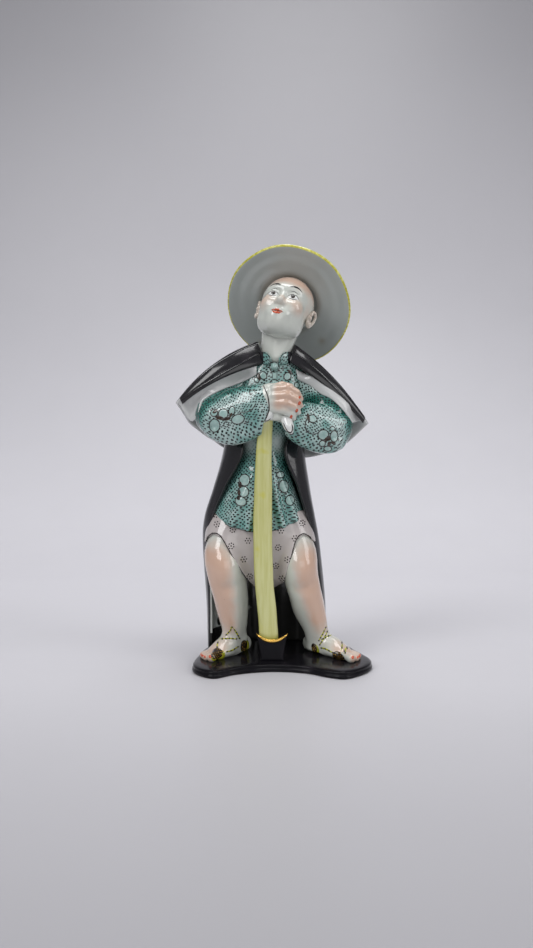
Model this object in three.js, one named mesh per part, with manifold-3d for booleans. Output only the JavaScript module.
// A slip-cast porcelain figurine: a man in a wide hat and a cloak, leaning on the shaft of a spade.
// Millimetres, +Z up, front towards -Y. The origin is the middle of the plinth's underside.
// Each mesh is one cast or pressed piece as it leaves its mould, before slip lutes it to its neighbours.
import * as THREE from "three";
import { mergeVertices } from "three/addons/utils/BufferGeometryUtils.js";
import Module from "manifold-3d";

const wasm = await Module();
wasm.setup();

// ---- Driving dimensions ----
const GAP = 0.3; // the slip joint between two luted pieces
const WALL = 3; // the cast wall of the hollow pieces
const PLINTH_T = 4.2; // plinth thickness
const FLOOR = PLINTH_T + GAP; // where the pieces that stand on the plinth begin
const VENT_R = 2.4; // firing vents through the plinth into the hollow legs
const HAT_R = 36.5; // brim radius
const HAT_T = 2; // hat wall
const CLOTH_T = 2.4; // cloak and cape thickness
const HEAD_HALF = [15.2, 16.6, 18.6]; // half width, depth and height of the skull
const AROUND = 16; // points round an ordinary casting

const vec = (p) => new THREE.Vector3(...p);
const degrees = THREE.MathUtils.degToRad;

// ---- Solids ----

// A three.js geometry as a manifold-3d solid, turned right side out.
function solidOf(geometry) {
  const g = new THREE.BufferGeometry().setAttribute("position", geometry.getAttribute("position"));
  if (geometry.index) g.setIndex(geometry.index);
  const merged = mergeVertices(g, 1e-4);
  const index = merged.index.array;
  const kept = [];
  for (let i = 0; i < index.length; i += 3) {
    const [a, b, c] = [index[i], index[i + 1], index[i + 2]];
    if (a !== b && b !== c && a !== c) kept.push(a, b, c);
  }
  const build = (faces) =>
    new wasm.Manifold(
      new wasm.Mesh({
        numProp: 3,
        vertProperties: merged.attributes.position.array,
        triVerts: new Uint32Array(faces),
      }),
    );
  const made = build(kept);
  if (made.volume() > 0) return made;
  const turned = [];
  for (let i = 0; i < kept.length; i += 3) turned.push(kept[i], kept[i + 2], kept[i + 1]);
  return build(turned);
}

// The geometry of a manifold-3d solid.
function geometryOf(solid) {
  const mesh = solid.getMesh();
  const flat = new Float32Array(mesh.numVert * 3);
  for (let i = 0; i < mesh.numVert; i++) {
    flat.set(mesh.vertProperties.subarray(i * mesh.numProp, i * mesh.numProp + 3), i * 3);
  }
  return new THREE.BufferGeometry()
    .setAttribute("position", new THREE.BufferAttribute(flat, 3))
    .setIndex(new THREE.BufferAttribute(mesh.triVerts, 1));
}

const join = (solids) => solids.reduce((all, one) => all.add(one));

// A closed skin through rings of points that all turn the same way, with a fan over each end.
function skin(rings) {
  const count = rings[0].length;
  const points = rings.flat();
  const faces = [];
  rings.slice(1).forEach((_, r) => {
    for (let i = 0; i < count; i++) {
      const [a, b] = [r * count + i, r * count + ((i + 1) % count)];
      faces.push(a, b, b + count, a, b + count, a + count);
    }
  });
  [0, rings.length - 1].forEach((r) => {
    const centre = rings[r].reduce((sum, p) => sum.add(p), new THREE.Vector3()).divideScalar(count);
    points.push(centre);
    for (let i = 0; i < count; i++) {
      const [a, b] = [r * count + i, r * count + ((i + 1) % count)];
      faces.push(...(r ? [a, b, points.length - 1] : [b, a, points.length - 1]));
    }
  });
  return solidOf(new THREE.BufferGeometry().setFromPoints(points).setIndex(faces));
}

// Points round an oval with half axes u and v, as vectors.
function oval(centre, u, v, count = AROUND) {
  return Array.from({ length: count }, (_, i) => {
    const t = (2 * Math.PI * i) / count;
    return centre.clone().addScaledVector(u, Math.cos(t)).addScaledVector(v, Math.sin(t));
  });
}

// Smooth values between rows of numbers, at `steps` + 1 even places.
function eased(rows, steps) {
  const parts = [];
  for (let k = 0; k < rows[0].length; k += 3) {
    const curve = new THREE.CatmullRomCurve3(
      rows.map((row) => new THREE.Vector3(row[k], row[k + 1] ?? 0, row[k + 2] ?? 0)),
      false,
      "centripetal",
    );
    parts.push(Array.from({ length: steps + 1 }, (_, i) => curve.getPoint(i / steps).toArray()));
  }
  return parts[0].map((first, i) => parts.reduce((all, part) => all.concat(part[i]), []));
}

// An upright casting. Each row is [x, y, z, half width, half depth, unused], from the bottom up.
function upright(rows, grow, steps, count = AROUND) {
  const last = rows.length - 1;
  const stretched = rows.map((row, i) => {
    const lift = i === 0 ? -grow : i === last ? grow : 0;
    return [row[0], row[1], row[2] + lift, row[3] + grow, row[4] + grow, 0];
  });
  return skin(
    eased(stretched, steps).map(([x, y, z, hw, hd]) =>
      oval(vec([x, y, z]), vec([hw, 0, 0]), vec([0, hd, 0]), count),
    ),
  );
}

// A limb along a line. Each row is [x, y, z, half size across, half size upwards, unused].
// `up` is the direction that the second half size leans to.
function limb(rows, grow, steps, up = [0, 0, 1], count = AROUND - 4) {
  const spots = eased(rows, steps);
  return skin(
    spots.map(([x, y, z, across, tall], i) => {
      const [before, after] = [spots[Math.max(i - 1, 0)], spots[Math.min(i + 1, steps)]];
      const along = vec(after.slice(0, 3)).sub(vec(before.slice(0, 3))).normalize();
      const side = along.clone().cross(vec(up)).normalize();
      const rise = side.clone().cross(along).normalize();
      const end = i === 0 ? -1 : i === steps ? 1 : 0;
      const centre = vec([x, y, z]).addScaledVector(along, end * grow);
      return oval(centre, side.multiplyScalar(across + grow), rise.multiplyScalar(tall + grow), count);
    }),
  );
}

function ellipsoid(centre, half, turn, grow, across = 20, down = 14) {
  const g = new THREE.SphereGeometry(1, across, down);
  g.scale(...half.map((h) => h + grow));
  g.applyQuaternion(turn);
  g.translate(...centre);
  return solidOf(g);
}

// A sheet of even thickness over the surface `at`(u, v), with u and v from 0 to 1, larger all round by grow.
function sheet(at, thickness, grow, acrossSteps, downSteps) {
  const step = 1e-3;
  const border = (t) => (t === 0 ? -grow : t === 1 ? grow : 0);
  const offset = (u, v, side) => {
    const [u0, u1] = [Math.max(u - step, 0), Math.min(u + step, 1)];
    const [v0, v1] = [Math.max(v - step, 0), Math.min(v + step, 1)];
    const across = at(u1, v).sub(at(u0, v)).normalize();
    const down = at(u, v1).sub(at(u, v0)).normalize();
    const normal = across.clone().cross(down).normalize();
    return at(u, v)
      .addScaledVector(normal, side * (thickness / 2 + grow))
      .addScaledVector(across, border(u))
      .addScaledVector(down, border(v));
  };
  const wide = acrossSteps + 1;
  const points = [];
  [1, -1].forEach((side) => {
    for (let r = 0; r <= downSteps; r++) {
      for (let i = 0; i < wide; i++) points.push(offset(i / acrossSteps, r / downSteps, side));
    }
  });
  const faces = [];
  const quad = (a, b, c, d) => faces.push(a, b, c, a, c, d);
  const at0 = (r, i) => r * wide + i; // a point of the first face
  const at1 = (r, i) => points.length / 2 + at0(r, i); // the point behind it
  for (let r = 0; r < downSteps; r++) {
    for (let i = 0; i < acrossSteps; i++) {
      quad(at0(r, i), at0(r, i + 1), at0(r + 1, i + 1), at0(r + 1, i));
      quad(at1(r, i), at1(r + 1, i), at1(r + 1, i + 1), at1(r, i + 1));
    }
    quad(at0(r, 0), at0(r + 1, 0), at1(r + 1, 0), at1(r, 0));
    quad(at0(r + 1, acrossSteps), at0(r, acrossSteps), at1(r, acrossSteps), at1(r + 1, acrossSteps));
  }
  for (let i = 0; i < acrossSteps; i++) {
    quad(at0(0, i + 1), at0(0, i), at1(0, i), at1(0, i + 1));
    quad(at0(downSteps, i), at0(downSteps, i + 1), at1(downSteps, i + 1), at1(downSteps, i));
  }
  return solidOf(new THREE.BufferGeometry().setFromPoints(points).setIndex(faces));
}

// The space in front of and behind an outline in the XZ plane.
function curtain(outline, reach = 80) {
  const shape = new THREE.Shape(outline.map(([x, z]) => new THREE.Vector2(x, z)));
  const g = new THREE.ExtrudeGeometry(shape, { depth: 2 * reach, bevelEnabled: false });
  g.rotateX(Math.PI / 2); // the shape's y becomes z, and its depth runs towards -Y
  g.translate(0, reach, 0);
  return solidOf(g);
}

// ---- Plinth and spade ----

const PLINTH = [
  [-48.5, -21], [-44, -32], [-35, -37.6], [-25, -30.5], [-12, -25.6], [0, -24.6], [14, -28.2],
  [24, -35.4], [34, -38.4], [46, -27], [50.5, -13], [46, 4], [39, 24], [22, 38.5], [-6, 42],
  [-30, 37], [-43, 18], [-47, -2],
];

function plinth(grow) {
  const outline = new THREE.SplineCurve([...PLINTH, PLINTH[0]].map(([x, y]) => new THREE.Vector2(x, y)));
  const shape = new THREE.Shape(outline.getPoints(44).slice(0, -1));
  const bevel = 0.9;
  const g = new THREE.ExtrudeGeometry(shape, {
    depth: PLINTH_T - 2 * bevel + 2 * grow,
    bevelThickness: bevel,
    bevelSize: bevel,
    bevelOffset: grow - bevel,
    bevelSegments: 1,
    curveSegments: 1,
  });
  g.translate(0, 0, bevel - grow);
  let made = solidOf(g);
  if (grow) return made;
  LEGS.forEach(({ rows }) => {
    const vent = new THREE.CylinderGeometry(VENT_R, VENT_R, 4 * PLINTH_T, 12);
    vent.rotateX(Math.PI / 2);
    vent.translate(rows[0][0], rows[0][1], 0);
    made = made.subtract(solidOf(vent));
  });
  return made;
}

const SHAFT = [
  [-6.7, -13, 16.4, 5.2, 2.9, 0], [-7.6, -13.6, 30, 5.2, 2.9, 0], [-9.4, -14.6, 49, 5.3, 2.9, 0],
  [-10.1, -16, 76, 5.2, 2.8, 0], [-9.8, -17.4, 99, 5, 2.7, 0], [-9.4, -19, 120, 4.3, 2.6, 0],
  [-8, -20.5, 139, 3.4, 2.4, 0],
];
const shaft = (grow) => limb(SHAFT, grow, 9, [0, -1, 0], 12);

const BLADE = { x: -4.9, y: -13.2, low: 6.3, high: 8.2, deep: 4.6, top: 15.4, horn: 3.4 };

// The blade's socket: a block that widens upwards, with its top edge dished between two horns.
function blade(grow) {
  const b = BLADE;
  const shape = new THREE.Shape();
  shape.moveTo(b.x - b.low - 1.2 - grow, FLOOR - grow);
  shape.lineTo(b.x - b.low - grow, FLOOR + 2);
  shape.lineTo(b.x - b.high - grow, b.top + b.horn + grow);
  shape.quadraticCurveTo(b.x, b.top - b.horn + grow, b.x + b.high + grow, b.top + b.horn + grow);
  shape.lineTo(b.x + b.low + grow, FLOOR + 2);
  shape.lineTo(b.x + b.low + 1.2 + grow, FLOOR - grow);
  const g = new THREE.ExtrudeGeometry(shape, {
    depth: 2 * (b.deep + grow),
    bevelEnabled: false,
    curveSegments: 6,
  });
  g.rotateX(Math.PI / 2);
  g.translate(0, b.y + b.deep + grow, 0);
  return solidOf(g);
}

// The gilt lip that follows the dished edge round the socket's mouth.
function lip(grow) {
  const b = BLADE;
  const rows = [-1, -0.5, 0, 0.5, 1].map((t) => [
    b.x + t * (b.high + 0.9), b.y - b.deep - 0.4, b.top + b.horn * t * t + 0.3, 0.9, 0.9, 0,
  ]);
  return limb(rows, grow, 8, [0, 0, 1], 8);
}

// ---- Legs and trousers ----

// rows run from the ankle to the thigh. heel and toe lie on the plinth. hem is the trouser's edge.
const LEGS = [
  {
    name: "right_leg",
    rows: [
      [-26.2, 3, 9, 7.6, 8, 0], [-26.6, 1, 21, 7.6, 8, 0], [-28, -1, 35, 9.8, 9.8, 0],
      [-30.6, -3, 50, 11, 10.6, 0], [-32.2, -2, 63, 11.2, 10.4, 0], [-29, 4, 78, 8.6, 8, 0],
    ],
    heel: [-20.5, 9.5],
    toe: [-42.4, -15.4],
    hem: [[-60, 64], [-44.5, 66], [-41.4, 70.6], [-37.6, 73.1], [-33.1, 70.9], [-25.8, 58.5], [-19, 47.2], [-13, 37]],
  },
  {
    name: "left_leg",
    rows: [
      [21.8, 3, 9, 7.8, 8, 0], [19.4, 2, 22, 8, 8.2, 0], [15, -1, 35.4, 9.2, 9.4, 0],
      [11.4, -3, 50, 9.9, 10.2, 0], [10.2, -2, 63, 10, 10.2, 0], [6, 4, 78, 8, 8, 0],
    ],
    heel: [16.4, 10.5],
    toe: [42.4, -17],
    hem: [[36, 62], [19, 64], [15.6, 69.7], [12.6, 72.9], [8.6, 69.7], [5.3, 58.5], [1.6, 44.6], [-3, 36]],
  },
];

function hemSpace(leg, grow) {
  const side = Math.sign(leg.toe[0]);
  const outer = leg.hem[0][0];
  const inner = leg.hem.at(-1)[0];
  const edge = leg.hem.map(([x, z]) => [x, z + grow]);
  return curtain([[outer + 30 * side, 0], [outer + 30 * side, edge[0][1]], ...edge, [inner, 0]]);
}

const foreleg = (leg, grow) => limb(leg.rows, grow, 8, [0, -1, 0], 14);

function footOf(leg, grow) {
  const [hx, hy] = leg.heel;
  const [tx, ty] = leg.toe;
  const length = Math.hypot(tx - hx, ty - hy);
  const [dx, dy] = [(tx - hx) / length, (ty - hy) / length];
  // Each row of the foot is [share of its length, half width, height].
  const profile = [[-0.02, 2.6, 5], [0.08, 5.6, 9], [0.3, 6.4, 13], [0.55, 6.8, 11.4], [0.78, 7.4, 7.4], [0.95, 6, 4.8], [1.02, 3, 3]];
  const rows = profile.map(([t, half, tall]) => [
    hx + dx * length * t, hy + dy * length * t, FLOOR - grow + (tall + grow) / 2, half, (tall + grow) / 2, 0,
  ]);
  return limb(rows, grow, 8, [0, 0, 1], 12).trimByPlane([0, 0, 1], FLOOR - grow);
}

function legOf(leg, grow) {
  const whole = foreleg(leg, grow).add(footOf(leg, grow));
  if (grow) return whole;
  const vent = new THREE.CylinderGeometry(VENT_R, VENT_R, 40, 12);
  vent.rotateX(Math.PI / 2);
  vent.translate(leg.rows[0][0], leg.rows[0][1], PLINTH_T + 10);
  const hollow = foreleg({ rows: leg.rows.slice(1) }, -WALL);
  return whole.intersect(hemSpace(leg, -GAP)).subtract(hollow).subtract(solidOf(vent));
}

const PELVIS = [
  [-9, 4, 42.5, 8, 7, 0], [-9.4, 4, 50, 15, 11.5, 0], [-10.6, 4, 60, 23, 14, 0],
  [-11.8, 4, 70, 29.5, 15.6, 0], [-12.4, 4, 79, 29.8, 15.8, 0], [-12.4, 4, 86, 27, 14.4, 0],
];

function trousers(grow) {
  const legs = LEGS.map((leg) => foreleg(leg, grow + 0.9).subtract(hemSpace(leg, -grow)));
  const body = upright(PELVIS, grow, 7, 20).subtract(join(LEGS.map((leg) => hemSpace(leg, -grow))));
  const whole = join([body, ...legs]);
  return grow ? whole : whole.subtract(upright(PELVIS.slice(2), -WALL, 5, 20)).subtract(
    upright(PELVIS.slice(4).map((row) => [row[0], row[1], row[2] + 3, row[3], row[4], 0]), -WALL - 2, 2, 20),
  );
}

// ---- Jacket, sleeves and hands ----

const JACKET = [
  [-13.4, 4.2, 71, 29, 17.6, 0], [-13, 4.2, 84, 27, 17.2, 0], [-11.8, 4, 99, 20.5, 15.6, 0],
  [-10.2, 4, 115, 14.4, 14.2, 0], [-9.6, 4, 124, 13.4, 13.8, 0], [-8, 4, 137, 17.5, 14.2, 0],
  [-6, 3.6, 152, 21.5, 14.6, 0], [-4.6, 2.4, 165, 18.5, 12.4, 0], [-3.4, 0, 174, 10.5, 9, 0],
];

// The jacket's hem, as [x, z]: low in the middle and higher over the hips.
const JACKET_HEM = [[-60, 84], [-40.5, 81.4], [-31, 76.2], [-17.5, 73.8], [-6, 74.2], [8, 77.4], [14.5, 83], [40, 88]];

function jacket(grow) {
  const below = JACKET_HEM.map(([x, z]) => [x, z - grow]);
  const whole = upright(JACKET, grow, 11, 20).subtract(curtain([[-60, 40], ...below, [40, 40]]));
  if (grow) return whole;
  const hollow = JACKET.slice(0, -1).map((row, i) => [row[0], row[1], row[2] - (i ? 0 : 4), row[3], row[4], 0]);
  return whole.subtract(upright(hollow, -WALL, 7, 16));
}

// upper runs from the shoulder to the elbow, fore from the elbow to the cuff. Half size upwards is along Z.
const SLEEVES = [
  {
    name: "right_sleeve",
    upper: [[-20, 4, 163, 8, 9, 0], [-31, 0, 153.5, 9.5, 10, 0], [-38.6, -5.5, 141, 9.2, 9.6, 0]],
    elbow: { centre: [-38.8, -7, 139.5], half: [9.6, 9.6, 10] },
    fore: [
      [-39, -8.5, 138.4, 8.6, 9.6, 0], [-34.6, -12, 137.6, 8, 13, 0], [-27, -15.4, 138.2, 7.6, 15.6, 0],
      [-16, -19.6, 141.6, 7.4, 14.4, 0], [-9.6, -21, 145.4, 6.6, 11.2, 0],
    ],
  },
  {
    name: "left_sleeve",
    upper: [[13, 4, 161, 8, 9, 0], [24, 0, 150, 9.5, 10, 0], [31, -5.5, 137.6, 9, 9.6, 0]],
    elbow: { centre: [31.6, -6.8, 136], half: [9.4, 9.4, 10] },
    fore: [
      [32, -8, 134.4, 8.4, 9.6, 0], [28.6, -11.6, 131, 7.8, 12, 0], [22.6, -14.6, 131.4, 7.6, 13.2, 0],
      [13, -17.6, 134.6, 7.2, 12.4, 0], [7.4, -18.6, 138, 6.4, 9.8, 0],
    ],
  },
];

const sleeveOf = ({ upper, elbow, fore }, grow) =>
  join([
    limb(upper, grow, 4, [0, 0, 1], 12),
    ellipsoid(elbow.centre, elbow.half, new THREE.Quaternion(), grow, 12, 8),
    limb(fore, grow, 7, [0, 0, 1], 12),
  ]);

// The pale lining that hangs in a point out of each cuff.
const CUFFS = [
  { name: "right_cuff", rows: [[-12, -20, 132, 3, 5.6, 0], [-9, -21, 135, 2.8, 4.8, 0], [-6.4, -21.4, 139, 2.2, 3, 0]] },
  { name: "left_cuff", rows: [[6.6, -20.4, 141, 2, 3, 0], [5.2, -21.4, 134.5, 2.8, 3.2, 0], [4.6, -21, 128.6, 2, 1.6, 0]] },
];
const cuffOf = (cuff, grow) => limb(cuff.rows, grow, 4, [0, -0.3, 1], 8);

// A finger is a chain of points with a radius, as [x, y, z, radius].
const finger = (points, grow) =>
  limb(points.map(([x, y, z, r]) => [x, y, z, r, r, 0]), grow, 4, [0, 0, 1], 8);

const UPPER_HAND = {
  palm: { centre: [-1.6, -24, 146.6], half: [8.6, 5.2, 7.2] },
  fingers: [0, 1, 2, 3].map((k) => [
    [-2 - 0.4 * k, -26.4 + 0.5 * k, 151.4 - 4 * k, 2.7],
    [4.4 - 0.4 * k, -27.6 + 0.5 * k, 150.4 - 3.9 * k, 2.6],
    [8.8 - 0.9 * k, -25.2 + 0.4 * k, 147 - 3.4 * k, 2.4],
    [9.6 - 1.5 * k, -22.6 + 0.3 * k, 144.2 - 3.2 * k, 1.9],
  ]),
};
const LOWER_HAND = {
  palm: { centre: [-0.6, -17.4, 139], half: [7.6, 4.4, 6] },
  fingers: [[[3, -21.5, 139.5, 2.6], [-1.5, -23.4, 136.6, 2.5], [-5.6, -24, 134.8, 2.1]]],
};

function handOf(hand, grow) {
  const palm = ellipsoid(hand.palm.centre, hand.palm.half, new THREE.Quaternion(), grow, 12, 8);
  return join([palm, ...hand.fingers.map((points) => finger(points, grow))]);
}

// ---- Cloak and cape ----

// The cloak behind the body, from the plinth up: [x, y, z, half width, half depth, edge angle].
// The edge angle is how far each front edge turns from straight behind, in degrees.
const CLOAK = [
  [-7.6, 12, FLOOR, 33.6, 24, 101], [-8.4, 11, 33, 33.4, 22, 106], [-11, 8, 66, 32.6, 20, 113],
  [-11.8, 6, 82, 30.8, 18.8, 120], [-10.8, 5, 99, 26.8, 17.8, 130], [-9.4, 5, 121, 22.6, 16.8, 150],
  [-7.6, 6, 140, 22.6, 15.8, 118], [-5, 7, 158, 21, 12.4, 96],
];

function cloak(grow) {
  const rows = eased(CLOAK, 12);
  const at = (u, v) => {
    const place = v * (rows.length - 1);
    const low = Math.min(Math.floor(place), rows.length - 2);
    const [x, y, z, hw, hd, edge] = rows[low].map((n, k) => n + (rows[low + 1][k] - n) * (place - low));
    const turn = degrees(edge) * (2 * u - 1);
    return vec([x + hw * Math.sin(turn), y + hd * Math.cos(turn), z]);
  };
  return sheet(at, CLOTH_T, grow, 20, 12);
}

// The cape from its neck to its hem, going from the tip at the figure's right, behind, to its left.
const CAPE_NECK = [[-12.5, -3.4, 181.5], [-12, 5, 180], [-3, 10.5, 181.5], [6, 5, 180.4], [6.8, -4, 180]];
const CAPE_HEM = [
  [-59.2, -6, 147], [-50, 9, 134], [-31, 23, 122], [-7, 29, 116], [17, 24, 117], [36, 12, 123], [49.6, -5, 135.4],
];
const CAPE_SWELL = [[-2, -5, 3.2], [-4, 3, 6], [-3, 8, 5], [0, 10, 4], [3, 8, 5], [5, 3, 6], [1.6, -4, 2.2]];
const curveOf = (points) => new THREE.CatmullRomCurve3(points.map(vec), false, "centripetal");
const capeNeck = curveOf(CAPE_NECK);
const capeHem = curveOf(CAPE_HEM);
const capeSwell = curveOf(CAPE_SWELL);

function capeAt(u, v) {
  const bend = 4 * v * (1 - v);
  return capeNeck.getPoint(u).lerp(capeHem.getPoint(u), v).addScaledVector(capeSwell.getPoint(u), bend);
}

const cape = (grow) => sheet(capeAt, CLOTH_T, grow, 24, 6);

// A turned-back front edge: it leaves the cape's edge line and hangs inside it, narrowing to the tip.
const LAPELS = [
  { name: "right_lapel", edge: 0, fall: [5, -3.6, -11.5] },
  { name: "left_lapel", edge: 1, fall: [-2.6, -3.6, -9.4] },
];

function lapelOf(lapel, grow) {
  const at = (u, v) => {
    const along = 0.02 + 0.8 * v;
    const width = 0.16 + u * (1 - 0.62 * v);
    return capeAt(lapel.edge, along).add(new THREE.Vector3(0, -1, 0)).addScaledVector(vec(lapel.fall), width);
  };
  return sheet(at, 1.8, grow, 3, 8);
}

// ---- Head, hat and collar ----

const HEAD = [3, -5.2, 200.6];
const headTurn = new THREE.Quaternion().setFromEuler(
  new THREE.Euler(degrees(-24), degrees(13), degrees(-12), "ZYX"),
);
const inHead = (p) => vec(p).applyQuaternion(headTurn).add(vec(HEAD)).toArray();

function head(grow) {
  const skull = ellipsoid(HEAD, HEAD_HALF, headTurn, grow, 18, 12);
  const jaw = ellipsoid(inHead([0, -4.2, -9.6]), [10.8, 10.8, 11.8], headTurn, grow, 14, 8);
  const nose = ellipsoid(inHead([0, -15.6, -3]), [2.4, 2.8, 4.4], headTurn, grow, 8, 6);
  return join([skull, jaw, nose]);
}

const earOf = (side, grow) =>
  ellipsoid(inHead([side * 15.4, 1, -3]), [2, 3.2, 5], headTurn, grow, 8, 6);

const NECK = [[-3.2, -1, 172.5, 8.4, 8, 0], [-1.6, -2, 180, 9.2, 9, 0], [0.6, -2.6, 190, 11, 10.6, 0]];
const neck = (grow) => upright(NECK, grow, 4, 16);

// The stand collar: a low ring that is open in front, on the slope of the chest.
function collarOf(side, grow) {
  const at = (u, v) => {
    const turn = degrees(side * (14 + 96 * u));
    const flare = 9.4 + 1.2 * v;
    return vec([-3 + flare * Math.sin(turn), -2.2 - flare * Math.cos(turn), 171.4 + 6.6 * v - 2.4 * Math.cos(turn)]);
  };
  return sheet(at, 1.6, grow, 7, 2);
}

const buttonOf = (place, grow) =>
  ellipsoid(place, [2.2, 1.5, 2.2], new THREE.Quaternion(), grow, 10, 6);

const HAT = { centre: [4.4, 6.4, 203.7], facing: [-0.21, -0.79, -0.58] };

function hat(grow) {
  const t = HAT_T + 2 * grow;
  // Radius and depth behind the rim's plane, from the crown's middle outwards.
  const inside = [[0, 13.4], [8, 12], [13.6, 8.6], [16.4, 4.6], [19.4, 3.2], [27, 2.2], [HAT_R - 1, 0]];
  const outside = inside.map(([r, d]) => [r ? r + t * 0.35 : 0, d + t]);
  const loop = [...inside.map(([r, d]) => [r, d - grow]), [HAT_R + grow, t * 0.5], ...outside.reverse()];
  const g = new THREE.LatheGeometry(loop.map(([r, d]) => new THREE.Vector2(r, d)), 36);
  g.applyQuaternion(
    new THREE.Quaternion().setFromUnitVectors(new THREE.Vector3(0, 1, 0), vec(HAT.facing).normalize().negate()),
  );
  g.translate(...HAT.centre);
  return solidOf(g);
}

// ---- Assembly ----

const PORCELAIN = 0xeceeea;
const BLACK = 0x17171c;
const TEAL = 0x5f9d97;
const SKIN = 0xe3c6b4;
const PIECES = [
  ["plinth", plinth, BLACK],
  ["spade_socket", blade, BLACK],
  ["spade_lip", lip, 0xc98a2e],
  ["spade_shaft", shaft, 0xc9c874],
  ["hat", hat, 0xa9b0ac],
  ["head", head, SKIN],
  ["right_ear", (grow) => earOf(-1, grow), SKIN],
  ["left_ear", (grow) => earOf(1, grow), SKIN],
  ["neck", neck, PORCELAIN],
  ["cape", cape, BLACK],
  ["right_collar", (grow) => collarOf(-1, grow), TEAL],
  ["left_collar", (grow) => collarOf(1, grow), TEAL],
  ["upper_hand", (grow) => handOf(UPPER_HAND, grow), SKIN],
  ["lower_hand", (grow) => handOf(LOWER_HAND, grow), SKIN],
  ...CUFFS.map((cuff) => [cuff.name, (grow) => cuffOf(cuff, grow), PORCELAIN]),
  ...LAPELS.map((lapel) => [lapel.name, (grow) => lapelOf(lapel, grow), BLACK]),
  ["upper_button", (grow) => buttonOf([-3.6, -12.4, 166.8], grow), TEAL],
  ["lower_button", (grow) => buttonOf([-3.5, -12.6, 157], grow), TEAL],
  ...SLEEVES.map((sleeve) => [sleeve.name, (grow) => sleeveOf(sleeve, grow), TEAL]),
  ["cloak", cloak, BLACK],
  ["jacket", jacket, TEAL],
  ["trousers", trousers, 0xb5a9a8],
  ...LEGS.map((leg) => [leg.name, (grow) => legOf(leg, grow), SKIN]),
];

const figurine = new THREE.Group();
const taken = []; // what the pieces placed so far keep clear, each grown by the slip joint

PIECES.forEach(([name, make, color]) => {
  const fitted = taken.reduce((rest, other) => rest.subtract(other), make(0));
  const bodies = fitted.decompose().sort((a, b) => b.volume() - a.volume());
  const gloss = new THREE.MeshStandardMaterial({ color, roughness: 0.15, metalness: name === "spade_lip" ? 1 : 0 });
  const mesh = new THREE.Mesh(geometryOf(bodies[0]), gloss);
  mesh.name = name;
  figurine.add(mesh);
  taken.push(make(GAP));
});

export default figurine;
